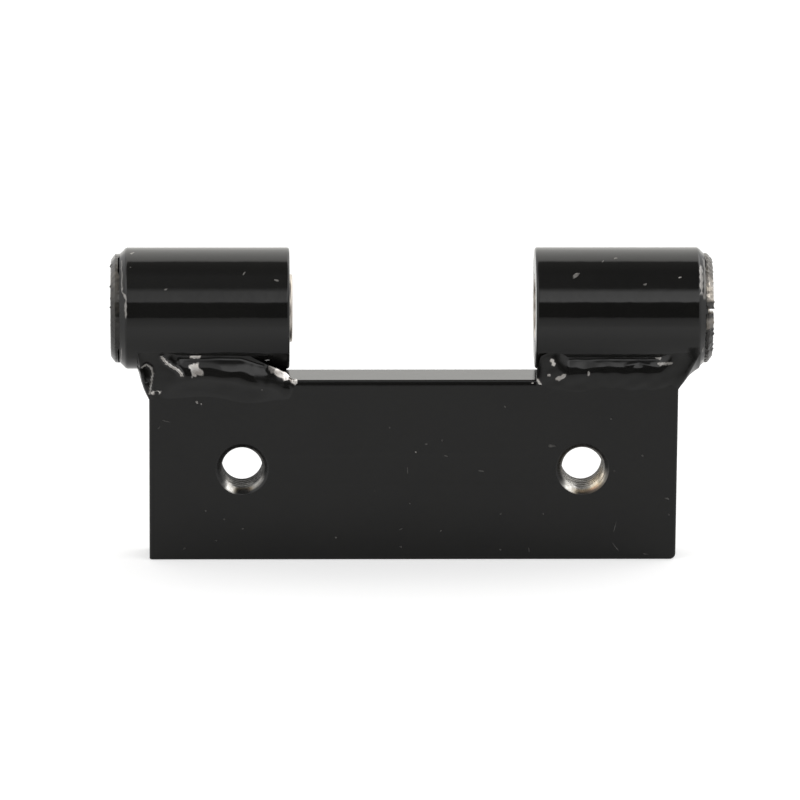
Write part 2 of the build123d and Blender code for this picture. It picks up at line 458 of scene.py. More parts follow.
def knuckle(side, sign, scuffs, shaded_places):
    """A thick tube: bore, rounded inner end, soft shoulder and chamfer at the outer end. Scuffs are lines
    rubbed bare round the chamfer: half width, strength, then stations of (angle, distance from the
    shoulder). The shaded places are patches of painted shade, where the gloss is taken away under the tube:
    from and to along the tube, lowest and highest angle."""
    shoulder = outer_end - tube_chamfer
    across = np.linspace(0.24, 0.84, 22)
    corners = [(inner_end, sleeve_radius, 0), (inner_end, tube_radius, tube_inner_round)]
    corners += [(x, tube_radius, 0) for x in np.linspace(inner_end + 0.7, inner_end + 5, 12)]
    corners += [(x, tube_radius, 0) for x in np.linspace(inner_end + 8, shoulder - 4, 6)]
    corners += [(x, tube_radius, 0) for x in np.linspace(shoulder - 3, shoulder - 1, 8)]
    corners += [(shoulder, tube_radius, shoulder_round)]
    corners += [(shoulder + tube_chamfer * t, tube_radius - tube_chamfer * t, 0) for t in across]
    corners += [(outer_end, tube_radius - tube_chamfer, mouth_round), (outer_end, sleeve_radius, 0)]
    profile = rounded_profile(corners, 12)
    angle = np.linspace(0, 2 * np.pi, tube_spokes, endpoint=False)
    along, turn = np.meshgrid(profile[:, 0], angle)
    radius = np.broadcast_to(profile[:, 1], along.shape)
    degrees = signed_degrees(turn)
    bare = np.zeros(along.shape)
    for seed, (half, strength, *path) in enumerate(scuffs):
        low, high = path[0][0], path[-1][0]
        band = between(degrees, low, low + 4, high - 4, high)
        place = shoulder + stations(degrees, *path) + 0.05 * uneven(degrees, 0 * degrees, 40 + seed, 9.0)
        width = half * np.clip(1 + 0.35 * uneven(degrees, 0 * degrees, 60 + seed, 9.0), 0.3, 2)
        line = 1 - soft_step(np.abs(along - place), 0.6 * width, 1.2 * width + 0.03)
        bare = np.maximum(bare, strength * band * line * (radius > sleeve_radius + 0.1))
    # Painted shade: patches under the tubes beside the welds lose their gloss and go black.
    dull = np.zeros(along.shape)
    for start, stop, low, high in shaded_places:
        patch = between(along, start - 0.6, start + 0.6, stop - 0.8, stop + 0.8)
        patch = patch * between(degrees, low, low + 6, high - 4, high)
        dull = np.maximum(dull, shade_strength * patch)
    points = turned(sign * along, radius, turn)
    faces = grid_faces(len(angle), len(profile), wrap_rows=True, wrap_columns=True)
    marks = {"bare": bare, "dull": dull}
    replaced = [side + "_knuckle"]
    return make_piece(side + "_tube", points, faces, black_paint, "black_paint", replaced, 30, marks)


left_scuffs = [
    (0.17, 0.4, (2, 0.0), (20, 0.05), (25, 0.2), (30, 0.75), (36, 0.8)),
    (0.10, 0.3, (32, 0.8), (72, 0.9)),
    (0.08, 0.30, (-62, 1.1), (-30, 0.9)),
]
right_scuffs = [
    (0.32, 0.45, (24, 0.25), (60, 0.3)),
    (0.22, 0.3, (20, 0.9), (45, 1.1), (75, 1.0)),
    (0.30, 0.45, (-76, 0.9), (-52, 0.9)),
    (0.12, 0.35, (-40, 0.7), (-30, 0.9)),
]
# Patches of painted shade under the tubes: from and to along the tube, lowest and highest angle.
left_shaded = [(20, 29.0, -80, -33)]
right_shaded = [(20, 26.2, -80, -36), (56.6, 58.6, -60, -26)]
knuckle("left", -1, left_scuffs, left_shaded)
knuckle("right", 1, right_scuffs, right_shaded)

# %% [markdown]
# ## Flanged bushes
# Each bush was rolled from strip, so it has a seam, and the seam opens as a notch across the flange. A cut
# by a Boolean would give the notch; here the profile is carried round the pin from one lip of the notch to
# the other, which leaves clean edges. Paint built up on the rim and broke off again when a pin or washer was
# fitted, and that leaves the rim ragged and the steel bare in places.

# %% Bushes
burr_room, tooth_room = 0.12, 0.2
rim_slant = 1.25
seam_width_at_bore, seam_width_at_rim = 0.3, 1.1
bush_spokes = 620
seat_gap = 0.03
gap_strength = 0.5


def bush(side, sign, tip, face, seam_degrees, gaps, ragged, worn, teeth):
    """A sleeve with a flange, open at its seam: the angle runs from lip to lip, and each lip stands back by
    half the seam's width at that radius. Paint bridges the flange and the tube's chamfer, apart from gaps
    from angle to angle. The rim is a cone, uneven by the ragged height. Worn are stations of (angle, share of
    bare steel) and teeth are burrs at (angle, length, half width in degrees)."""
    seat = face - flange_thickness + seat_gap
    rim = flange_radius - burr_room
    face = face - tooth_room
    corners = [(tip, pin_radius, 0.1), (tip, sleeve_radius, 0.35), (seat, sleeve_radius, 0.05)]
    corners += [(seat, r, 0) for r in np.linspace(rim - 0.9, rim - 0.3, 6)]
    corners += [(seat, rim, 0.1)]
    corners += [(x, rim, 0) for x in np.linspace(seat + 0.2, face - 0.35, 9)]
    corners += [(face, rim, 0.3)]
    corners += [(face, r, 0) for r in np.linspace(rim - 1.6, pin_radius + 0.5, 8)]
    corners += [(face, pin_radius, 0.2)]
    profile = rounded_profile(corners, 5)
    u = np.linspace(0, 1, bush_spokes)[:, None]
    along, radius = profile[None, :, 0], profile[None, :, 1]
    taper = np.clip((radius - pin_radius) / (flange_radius - pin_radius), 0, 1)
    width = seam_width_at_bore + (seam_width_at_rim - seam_width_at_bore) * taper
    lip = np.arcsin(width / 2 / radius)
    angle = np.radians(seam_degrees) + lip + u * (2 * np.pi - 2 * lip)
    degrees = signed_degrees(angle)
    along, radius, degrees = np.broadcast_arrays(along, radius, degrees)
    on_flange = soft_step(radius, sleeve_radius + 0.2, sleeve_radius + 0.6)
    bridged = np.ones(along.shape)
    for low, high in gaps:
        bridged = bridged - gap_strength * between(degrees, low, low + 8, high - 8, high)
    lean = np.clip(radius - tube_radius + tube_chamfer, 0, None)
    filled = bridged * on_flange * (1 - soft_step(along, seat + 0.1, seat + 0.6))
    on_rim = soft_step(radius, rim - 1.5, rim - 0.6) * soft_step(along, seat - 0.05, seat + 0.2)
    along = along - filled * (seat - outer_end + 0.08 + lean)
    lump = uneven(degrees, 3 * along, 11 + sign, 7.0) + 0.5 * uneven(degrees, 6 * along, 12 + sign, 3.0)
    flake = np.clip(uneven(degrees, 5 * along, 21 + sign, 4.5) - 0.6, 0, 1)
    radius = radius + on_rim * np.clip(ragged * (0.3 * lump + flake), -burr_room, burr_room)
    radius = radius - rim_slant * on_rim * np.clip((along - seat - 0.2) / (face - seat - 0.2), 0, 1)
    outward = soft_step(along, face - 0.6, face - 0.1)
    tooth = 0.5 * ragged * np.clip(uneven(degrees, 0 * along, 31 + sign, 5.0) - 0.3, 0, 1)
    for at, length, half in teeth:
        tooth = np.maximum(tooth, length * np.exp(-(((degrees - at) / half) ** 2)))
    along = np.minimum(along + on_rim * outward * tooth, face + tooth_room)
    patchy = 0.85 + 0.25 * uneven(degrees, 6 * along, 51 + sign, 8.0)
    bare = on_rim * np.clip(stations(degrees, *worn) * patchy, 0, 1)
    bare = np.maximum(bare, along < inner_end + 0.2)
    bare = np.maximum(bare, 1 - soft_step(radius, pin_radius + 0.3, pin_radius + 1.0))
    points = np.stack([sign * along, -radius * np.cos(angle), radius * np.sin(angle)], axis=-1)
    faces = capped_faces(*points.shape[:2])
    name, replaced = side + "_flanged_bush", [side + "_bush"]
    return make_piece(name, points, faces, bush_finish, "bush_steel", replaced, 40, {"bare": bare})


left_seam, right_seam = 205, 9
left_ragged, right_ragged = 0.05, 0.22
left_gaps, right_gaps = [(-75, -32), (48, 86)], [(58, 80)]
left_worn = [(-70, 0.02), (-30, 0.02), (0, 0.04), (20, 0.08), (40, 0.17)]
left_worn += [(55, 0.20), (72, 0.10), (100, 0.06)]
left_teeth = [(74, 0.2, 1.2), (40, 0.2, 1.4), (14, 0.2, 1.0), (25, 0.1, 1.5)]
right_worn = [(-80, 0.3), (-50, 0.06), (-38, 0.03), (-12, 0.02), (-9, 0.35), (0, 0.35), (3, 0.05)]
right_worn += [(18, 0.05), (24, 1.0), (42, 1.0), (50, 0.3), (80, 0.25)]
right_teeth = [(20, 0.2, 2.0), (12, 0.2, 1.5), (-5, 0.12, 2.0), (-20, 0.2, 1.5), (-38, 0.15, 1.5)]
right_teeth += [(-46, 0.2, 1.2)]
left_wear = (left_gaps, left_ragged, left_worn, left_teeth)
right_wear = (right_gaps, right_ragged, right_worn, right_teeth)
bush("left", -1, left_bush_tip, left_flange_face, left_seam, *left_wear)
bush("right", 1, right_bush_tip, right_flange_face, right_seam, *right_wear)

# %% [markdown]
# ## The leaf
# The leaf is a sheared flat bar, and its own solid is right, apart from its holes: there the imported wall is
# a plain cylinder at the thread's inner diameter. The threads could be cut by a Boolean, which leaves poor
# faces on a flat mirror. So a copy of the leaf gets wider holes, by pushing the points of each wall outwards
# from the hole's axis, and a threaded wall comes inside them. The shears rolled the front back a little
# below the top edge, and the lower right corner has been struck, so those points move too.

# %% Leaf with opened holes
rim_radius, wall_radius = 5.5, 5.02
roll_height, roll_start, roll_depth = 1.4, 0.4, 0.12
edge_round = 0.45
struck_size, struck_lean = 1.7, 0.25
hole_places = {side: np.array(hole["pos_m"]) / mm for side, hole in bolt_holes.items()}


def opened_leaf():
    """The leaf's mesh with merged corners. Points nearer to a hole's axis than the countersink's edge move
    out along their radius: wall points to the wall's radius and edge points to the rim's. Below the top edge
    the front rolls back by its depth times the square of the height, as on a sheared bar, and the struck
    corner leans in."""
    source = frame["nodes"]["leaf_plate"].data
    shell = bmesh.new()
    shell.from_mesh(source)
    bmesh.ops.remove_doubles(shell, verts=shell.verts, dist=merge_distance)
    for below in np.linspace(edge_round, roll_height, 9):
        whole = shell.verts[:] + shell.edges[:] + shell.faces[:]
        level = (0, 0, (leaf_top - below) * mm)
        bmesh.ops.bisect_plane(shell, geom=whole, dist=merge_distance, plane_co=level, plane_no=(0, 0, 1))
    mesh = bpy.data.meshes.new("leaf_copy")
    shell.to_mesh(mesh)
    shell.free()
    points = np.empty(len(mesh.vertices) * 3)
    mesh.vertices.foreach_get("co", points)
    points = points.reshape(-1, 3) / mm
    for place in hole_places.values():
        offset = points[:, [0, 2]] - place[[0, 2]]
        distance = np.hypot(*offset.T)
        target = np.where(distance < thread_inner_radius + 0.3, wall_radius, rim_radius)
        scale = np.where(distance < rim_radius, target / np.maximum(distance, 1e-6), 1.0)
        points[:, [0, 2]] = place[[0, 2]] + offset * scale[:, None]
    struck = (points[:, 0] > right_leaf_end - struck_size) & (points[:, 2] < leaf_bottom + struck_size)
    points[struck, 0] -= struck_lean
    rolled = np.clip((points[:, 2] - leaf_top + roll_height) / (roll_height - roll_start), 0, None)
    points[:, 1] += roll_depth * rolled**2 * (points[:, 1] < front_face + edge_round)
    faces = [list(face.vertices) for face in mesh.polygons]
    bpy.data.meshes.remove(mesh)
    marks = {"bare": np.zeros(len(points))}
    return make_piece("leaf_bar", points, faces, black_paint, "black_paint", ["leaf_plate"], 0, marks)


opened_leaf()

# %% [markdown]
# ### Threads
# A tapped hole is a helix cut into the wall, opened by a countersink at both faces. A Screw modifier could
# turn the groove, but it would have to be trimmed at the cones. As one surface it is simple: at each depth
# and turn the radius is the larger of the thread and the cone. The groove has a rounded bottom, and it moves
# on by one pitch with each turn.

# %% Threaded walls
thread_pitch, thread_depth = 1.5, 0.5
first_crest = 1.45
crest_film = 0.07
lip_round = 0.14
face_sink = 0.002
thread_rows, thread_spokes = 230, 168
ring_wall = 0.43
ring_inset = 0.6


def spots(turn, depth, places):
    """Soft spots on a hole's wall, from rows of (angle, depth, half angle, half depth, strength)."""
    total = np.zeros(np.broadcast_shapes(turn.shape, depth.shape))
    for at, deep, half_angle, half_depth, strength in places:
        away = (np.degrees(turn) - at + 180) % 360 - 180
        total = total + strength * np.exp(-((away / half_angle) ** 4) - ((depth - deep) / half_depth) ** 4)
    return total


def thread_wall(side, plain, bare_and_highlight_places, rust_places):
    """A ring with a tapped inner wall. Its radius is the larger of the thread, a clipped cosine of depth
    over pitch less the turn, and of a cone with a rounded lip at each face. Plain is the share of bare
    steel. The bare and highlight places are spots of bare steel and of painted highlight, bright steel where
    a lamp's highlight falls; negative rows take bright steel away again."""
    place = hole_places[side]
    depth = np.linspace(0, leaf_thickness, thread_rows)[:, None]
    turn = np.linspace(0, 2 * np.pi, thread_spokes, endpoint=False)[None, :]
    wave = np.cos(2 * np.pi * (depth - first_crest) / thread_pitch - turn)
    thread = thread_inner_radius - crest_film + thread_depth * np.clip(0.55 - 0.6 * wave, 0, 1)
    from_face = np.minimum(depth, leaf_thickness - depth)
    near = np.clip(from_face / lip_round, 0, 1)
    cone = rim_radius - from_face - lip_round * np.sqrt(1 - (1 - near) ** 2)
    radius = np.maximum(thread, cone + 0 * turn)
    radius = np.vstack([radius, np.full((2, thread_spokes), wall_radius + ring_wall)])
    depth = np.vstack([depth, [[leaf_thickness - ring_inset], [ring_inset]]])
    depth, turn = np.broadcast_arrays(depth, turn)
    deep = front_face + face_sink + depth * (1 - 2 * face_sink / leaf_thickness)
    points = np.stack([place[0] + radius * np.cos(turn), deep, place[2] + radius * np.sin(turn)], axis=-1)
    patch = uneven(np.degrees(turn), 20 * depth, 5 + len(side), 40.0)
    # Painted highlight: the spots add bright steel where a lamp's highlight falls, beside real bare places.
    bare = plain * soft_step(depth, 0.5, 1.3) * (0.8 + 0.2 * patch) + spots(turn, depth, bare_and_highlight_places)
    marks = {"bare": np.clip(bare, 0, 1), "rust": np.clip(spots(turn, depth, rust_places), 0, 1)}
    faces = grid_faces(*points.shape[:2], wrap_rows=True, wrap_columns=True)
    return make_piece(side + "_thread", points, faces, thread_finish, "black_paint", (), 40, marks)


# Left hole: rows at -130 and -119 degrees are a painted highlight, the row at -124 cuts a dark hook in it,
# the row at -46 paints light arcs on the rim, and the row at -70 is a little bare steel.
left_bare_and_highlight = [
    (-130, 3.2, 12, 2.6, 0.95),
    (-119, 0.6, 12, 0.7, 1.0),
    (-124, 3.2, 7, 0.5, -0.9),
    (-46, 0.75, 24, 0.35, 0.55),
    (-70, 3.2, 12, 1.6, 0.12),
]
left_rust = [(-85, 0.6, 22, 0.5, 0.8)]
# Right hole: rows at -130 and -119 degrees are a painted highlight, rows at -40 and -62 are bare, rusty
# steel, and the row at -100 takes a little steel away below the highlight.
right_bare_and_highlight = [
    (-130, 3.2, 17, 3.2, 0.9),
    (-119, 0.6, 15, 0.75, 1.0),
    (-40, 3.2, 34, 3.4, 0.5),
    (-62, 0.95, 44, 0.6, 0.95),
    (-100, 3.0, 9, 2.0, -0.12),
]
right_rust = [(-75, 0.3, 34, 0.5, 0.75), (-40, 3.4, 34, 3.4, 0.42)]
left_plain, right_plain = 0.17, 0.6
thread_wall("left", left_plain, left_bare_and_highlight, left_rust)
thread_wall("right", right_plain, right_bare_and_highlight, right_rust)

# %% [markdown]
# ## Weld runs
# A welder laid one run on each side: along the front, round the end of the leaf and back along the rear.
# Sculpting would give such a lump by hand; a formula gives the same one on each run. The skin hangs between
# two lines, a lower toe on the leaf and an upper toe on the tube. At each place along the run its section is
# a cubic curve from toe to toe, with two handles that set how far it swells. On the front a bead is drawn
# over it by height, because its flat crown is what mirrors the room. The toes, the handles and the bead
# change from station to station.

# %% Weld skin
weld_sink = 0.05
toe_knee, toe_bend = 0.84, 5.5
corner_width, corner_sink = 0.6, 0.12
closing_run, closing_share = 4, 0.65
section_points = 90
root_below, root_inset, root_inset_at_end = 0.5, 4.0, 1.0


def weld_skin(along, start, leaf_end, reach, leg, upper_angle, bead, bead_from, tail_until, end_bulge):
    """Points of a run's section at places along it, for the right-hand side. Along counts millimetres: the
    distance from the hinge's middle on the front, then round the leaf's end, then along the rear, where the
    run closes down to a smaller section. The section is (1-v)^3 low + 3(1-v)^2 v handle_1 +
    3(1-v) v^2 handle_2 + v^3 high. On the front a bead takes over: it swells from the toe to its crown by a
    soft step, then falls back to the tube as a parabola that bends upright past its knee."""
    end_start, end_stop = leaf_end, leaf_end + leaf_thickness
    p = along[:, None]
    v = np.linspace(0, 1, section_points)[None, :]
    turn = soft_step(p, end_start - 0.3, end_start + 0.8) + soft_step(p, end_stop - 0.9, end_stop + 0.9)
    turn = turn * np.pi / 2
    out = np.stack([np.sin(turn), -np.cos(turn), 0 * turn], axis=-1)
    up = np.array([0.0, 0.0, 1.0])
    plan_x = np.minimum(np.minimum(p, leaf_end), leaf_end - (p - end_stop))
    plan_y = np.clip(front_face + p - leaf_end, front_face, back_face)
    corner = sum(np.exp(-(((p - turning) / corner_width) ** 2)) for turning in (end_start, end_stop))
    closing = 1 - closing_share * soft_step(p, along[-1] - closing_run, along[-1])
    toe = leaf_top - leg(p) * closing
    low = np.stack([plan_x, plan_y, toe], axis=-1) - out * (weld_sink + corner_sink * corner)[..., None]

    past_end = soft_step(p, end_start - 3.5, end_start + 0.8) - soft_step(p, end_stop - 0.8, end_stop + 4)
    below = upper_angle(p)
    angle = np.radians(np.where(below > 90, 90 + (below - 90) * closing, below))
    radius = tube_radius - weld_sink
    high = [plan_x + (reach - leaf_end) * past_end, -radius * np.cos(angle), -radius * np.sin(angle)]
    high = np.stack(high, axis=-1)
    tip = soft_step(p, start, inner_end + 0.8)
    on_top = np.stack([plan_x, front_face + 0.3 + 4.2 * tip**1.5, leaf_top + 0.1 * tip], axis=-1)
    lying = (1 - soft_step(p, inner_end - 0.6, inner_end + 1.2))[..., None]
    high = lying * on_top + (1 - lying) * high

    around = soft_step(p, end_start - 2.5, end_start + 0.6) - soft_step(p, end_stop - 0.6, end_stop + 2.5)
    behind = soft_step(p, end_stop - 0.6, end_stop + 2.5)
    ahead = 1 - around - behind
    behind = behind * closing
    tail = ahead * (1 - soft_step(p, tail_until - 10, tail_until))
    body = ahead - tail
    # millimetres out and up for each handle: on the tail, on the body, round the end and behind
    swell_1 = tip * tail + 1.6 * end_bulge * around + 2.5 * behind
    lift_1 = (0.4 + 5.2 * tip) * tail + 3.0 * body + 1.75 * behind
    swell_2 = (0.3 + 4.0 * tip) * tail - 2.0 * np.sin(angle) * body - 1.5 * behind
    lift_2 = (0.2 + 0.7 * tip) * tail - 2.0 * np.cos(angle) * body - 2.65 * behind
    third = (high - low) / 3 * around[..., None]
    handle_1 = low + third + out * swell_1[..., None] + up * lift_1[..., None]
    handle_2 = high - third + out * swell_2[..., None] + up * lift_2[..., None]
    v = v[..., None]
    low, high, handle_1, handle_2 = (a.reshape(len(along), 1, 3) for a in (low, high, handle_1, handle_2))
    skin = (1 - v) ** 3 * low + 3 * (1 - v) ** 2 * v * handle_1
    skin = skin + 3 * (1 - v) * v**2 * handle_2 + v**3 * high

    height, crown, top, contact = bead(p)
    z = skin[..., 2]
    t = np.clip((z - crown) / (top - crown), 0, 1)
    falling = (t**2 - toe_bend * np.clip(t - toe_knee, 0, 1) ** 2) / (1 - toe_bend * (1 - toe_knee) ** 2)
    meeting = -np.sqrt(tube_radius**2 - contact**2)
    rising = weld_sink - (height + weld_sink) * soft_step(z, toe, crown)
    front = front_face + rising + (meeting - front_face + height) * falling
    taken = ahead * soft_step(p, bead_from, bead_from + 5)
    skin[..., 1] += taken * (front - skin[..., 1])
    root = np.stack([plan_x, plan_y, np.full_like(p, leaf_top - root_below)], axis=-1)
    root = root - out * (root_inset - (root_inset - root_inset_at_end) * around)[..., None]
    return skin, root


def skin_normals(skin, root):
    """Unit normals of a grid, away from the root: the cross product of its steps along rows and columns."""
    normal = np.cross(np.gradient(skin, axis=0), np.gradient(skin, axis=1))
    normal = normal / np.maximum(np.linalg.norm(normal, axis=-1, keepdims=True), 1e-9)
    middle = skin.shape[1] // 2
    return normal * np.sign((normal[:, middle] * (skin[:, middle] - root[:, 0])).sum(-1))[:, None, None]


def weld_run(side, sign, start, leaf_end, shape, relief, bare_marks, shaded_places, seed):
    """A closed run: the skin, pushed out along its normals by lumps and by the relief, then a hidden root
    line that closes the section, and a cap at each end. Relief, bare marks and shaded places are rows of
    (path, half width, height or strength), and a path is a list of (x, z), given as on the right-hand
    side. The shaded places get a mark of painted shade. So does the skin under the tube near the start
    and round the end and the rear."""
    stop = 2 * leaf_end + leaf_thickness - inner_end - 0.6
    front = np.arange(start, leaf_end - 3, 0.11)
    round_end = np.arange(leaf_end - 3, leaf_end + leaf_thickness + 3, 0.16)
    rear = np.arange(leaf_end + leaf_thickness + 3, stop, 0.4)
    along = np.concatenate([front, round_end, rear, [stop]])
    skin, root = weld_skin(along, start, leaf_end, **shape)
    normal = skin_normals(skin, root)
    v = np.linspace(0, 1, skin.shape[1])[None, :]
    p = along[:, None]
    inside = between(v, 0.0, 0.25, 0.86, 1.0) * soft_step(p, start, start + 1.5)
    inside = inside * (1 - 0.85 * soft_step(p, leaf_end - 4, leaf_end - 1))
    x, z = skin[..., 0], skin[..., 2]
    lumps = 0.02 * uneven(p, 10 * v, seed, 2.6, 2.2) + 0.03 * uneven(p, 8 * v, seed + 1, 4.2, 3.0)
    push = inside * lumps
    on_front = (p < leaf_end + 2) * soft_step(-normal[..., 1], 0.05, 0.3)
    for path, half, height in relief:
        push = push + height * ridge(x, z, path, half) * on_front
    bare = np.zeros(push.shape)
    for k, (path, half, strength) in enumerate(bare_marks):
        bare = np.maximum(bare, strength * streak(x, z, path, half, seed + 10 + k, 0.3) * on_front)
    # Painted shade: the skin facing away from the front near the start, the end and rear, and the shaded
    # paths.
    dull = soft_step(0.4 + normal[..., 1], 0.0, 0.25) * (1 - soft_step(p, start + 5, start + 8))
    dull = np.maximum(dull, 0.6 * soft_step(p, leaf_end + 0.4, leaf_end + 1.2))
    for path, half, strength in shaded_places:
        dull = np.maximum(dull, strength * ridge(x, z, path, half))
    skin = skin + normal * (push - 0.03 * bare)[..., None]
    ring = np.concatenate([skin, root], axis=1)
    ring[..., 0] *= sign
    marks = {"bare": bare, "dull": dull}
    marks = {mark: np.pad(values, ((0, 0), (0, 1))) for mark, values in marks.items()}
    faces = capped_faces(*ring.shape[:2])
    replaced = [side + "_front_weld", side + "_rear_weld"]
    return make_piece(side + "_weld", ring, faces, black_paint, "black_paint", replaced, 50, marks)


# %% [markdown]
# ### Left weld
# The left run is the rough one. It starts in a thin bare finger on the leaf's top edge, swells to a flat
# bead, and has a crater at the leaf's corner, with a thin worm of metal beside it. Stations along the run
# give its outline, and short paths give what lies on it: raised or sunk relief, places rubbed down to bright
# steel, and painted shade: dull places in the crater, beside the worm and under the finger.

# %% Left weld
left_start = 23.7


def left_leg(p):
    """The lower toe's distance below the leaf's top edge: wavy on the front, short round the end."""
    front = [(left_start, 0.6), (25.4, 4.2), (33.5, 5.4), (42.5, 4.1), (48, 4.5)]
    return stations(p, *front, (52.0, 5.3), (54.1, 4.3), (64.5, 4.4), (67, 5.4))


def left_upper(p):
    """The upper toe's angle below the horizontal on the tube, past the bottom on the rear."""
    front = [(25.4, 76), (28, 60), (32, 44), (36, 34), (54.1, 33.5)]
    return stations(p, *front, (56, 44), (58, 55), (60, 66), (64.1, 88), (67, 117.6))


def left_bead(p):
    """The bead on the front: its height, the levels of its crown and top, and where it meets the tube."""
    swelling = [(26, 0.08), (30, 0.6), (33, 1.05), (39, 1.1)]
    height = stations(p, *swelling, (42, 0.85), (46.5, 0.8), (49.5, 0.4), (53, 0.08))
    crown = stations(p, (27, -14.0), (31, -13.7), (33, -13.3), (36, -12.6), (40, -12.25), (50, -12.2))
    top = stations(p, (30, -9.6), (33, -8.9), (36, -8.2), (47, -8.1), (51, -7.3))
    contact = stations(p, (30, -7.9), (47, -7.7), (51, -7.05))
    return height, crown, top, contact


worm = [(51.4, -8.0), (50.6, -9.1), (49.4, -9.9), (48.2, -10.6), (47.3, -11.6)]
crater_lip = [(55.6, -10.2), (54.6, -9.5), (53.7, -10.1), (53.3, -11.4), (53.6, -13.0), (54.0, -15.6)]
tail_ridge = [(29.6, -9.9), (26.6, -11.2), (24.2, -13.0)]
left_relief = [
    (worm, 0.40, 0.30),
    (crater_lip, 0.30, 0.20),
    ([(55.2, -10.9), (54.9, -12.2)], 0.8, -0.9),
    ([(50.3, -8.4), (48.6, -8.9)], 0.5, -0.25),
    (tail_ridge, 0.7, 0.25),
]
left_bare = [
    (worm, 0.27, 0.65),
    ([(45.4, -8.05), (43.8, -8.0)], 0.34, 1.0),
    ([(45.2, -9.9), (44.4, -10.0), (43.6, -11.3)], 0.65, 1.0),
    ([(45.1, -9.9), (44.9, -11.5)], 0.5, 1.0),
    ([(29.1, -10.2), (27.8, -11.0)], 0.6, 0.4),
    ([(27.6, -11.2), (26.4, -11.8), (25.4, -12.4)], 0.9, 1.0),
    ([(25.4, -12.4), (24.0, -13.2)], 0.62, 1.0),
    ([(53.6, -15.5), (51.9, -15.4)], 0.30, 0.9),
    (crater_lip, 0.14, 0.5),
]
# Painted shade: dull paths in the crater, at the end, beside the worm and under the finger.
left_painted_shade = [
    ([(56.7, -10.8), (54.6, -11.0), (54.4, -12.0)], 1.1, 1.0),
    ([(56.3, -7.4), (56.6, -9.8)], 0.45, 0.45),
    ([(49.6, -8.2), (48.9, -9.0)], 0.6, 1.0),
    ([(32.0, -12.2), (27.2, -13.4), (24.5, -13.9)], 0.55, 0.8),
]
left_shape = {"reach": left_reach, "leg": left_leg, "upper_angle": left_upper, "bead": left_bead}
left_shape |= {"bead_from": 24.5, "tail_until": 37, "end_bulge": 0.75}
left_marks = (left_relief, left_bare, left_painted_shade)
weld_run("left", -1, left_start, left_leaf_end, left_shape, *left_marks, seed=3)

# %% [markdown]
# ### Right weld
# The right run is the neat one: low, even and well covered with paint. A crease crosses it near its start,
# and only small chips show steel. It uses the same skin with its own stations, so the two runs differ as two
# runs by one hand do.

# %% Right weld
right_start = 25.4


def right_leg(p):
    """The lower toe's distance below the leaf's top edge, on the right-hand side."""
    front = [(right_start, 2.2), (29, 3.1), (36, 3.6), (44, 3.4), (51.5, 3.0)]
    return stations(p, *front, (54.8, 2.1), (64.8, 2.0), (67.5, 4.0))


def right_upper(p):
    """The upper toe's angle below the horizontal on the right-hand tube."""
    front = [(right_start, 40), (28.5, 34), (54.6, 33.5)]
    return stations(p, *front, (56, 40), (58, 51), (60, 62), (64.6, 88), (67.5, 117.6))


def right_bead(p):
    """The bead on the right-hand side: it starts behind a crease and ends before the corner."""
    height = stations(p, (right_start, 0.08), (30, 0.08), (32.2, 0.14), (50.5, 0.14), (53, 0.08))
    crown = stations(p, (right_start, -11.9), (32, -11.8), (42, -11.85), (47, -12.0), (53, -11.6))
    top = stations(p, (right_start, -7.3), (30, -7.6), (32.2, -8.5), (50.5, -8.45), (53, -7.4))
    contact = stations(p, (right_start, -7.1), (30, -7.2), (32.2, -8.35), (50.5, -8.3), (53, -7.1))
    return height, crown, top, contact


right_relief = [
    ([(29.2, -7.9), (29.8, -9.0), (31.8, -11.0)], 0.60, -0.06),
    ([(44.0, -9.9), (46.5, -9.3), (48.5, -9.9)], 0.35, 0.06),
]
right_bare = [
    ([(28.5, -8.7), (28.9, -9.6)], 0.33, 1.0),
    ([(29.7, -12.6), (31.1, -12.0)], 0.40, 0.6),
    ([(27.8, -11.9), (28.1, -11.8)], 0.22, 0.7),
    ([(25.7, -12.9), (26.2, -13.8)], 0.28, 0.8),
    ([(36.1, -11.2), (36.1, -11.8)], 0.20, 0.6),
    ([(50.0, -8.1), (50.6, -8.5)], 0.30, 0.55),
    ([(50.6, -9.6), (52.9, -9.35)], 0.30, 0.5),
]
# Painted shade: dull paths at the start, along the crease and at the end of the run.
right_painted_shade = [
    ([(25.5, -8.5), (26.0, -10.5), (25.8, -12.0)], 0.5, 1.0),
    ([(29.2, -7.8), (29.8, -9.2), (31.4, -11.0)], 0.65, 0.9),
    ([(57.2, -6.9), (58.0, -8.4)], 1.0, 0.8),
]
right_shape = {"reach": right_reach, "leg": right_leg, "upper_angle": right_upper, "bead": right_bead}
right_shape |= {"bead_from": 20, "tail_until": 0, "end_bulge": 0.5}
right_marks = (right_relief, right_bare, right_painted_shade)
weld_run("right", 1, right_start, right_leaf_end, right_shape, *right_marks, seed=17)

# %% [markdown]
# ## Chips and specks
# Small chips and nicks show the metal under the black on the tubes, a drop of spatter sits beside the left
# weld, painted nearly white as its glint, and specks, dust and thin scratches lie on the leaf. A texture
# could show them, but each has its own place, so each is a thin irregular scab: a round grid whose radius
# varies with the angle, stretched, turned and laid on the surface that carries it. All scabs of a kind are
# one array, so placing one more is one more line in a list.

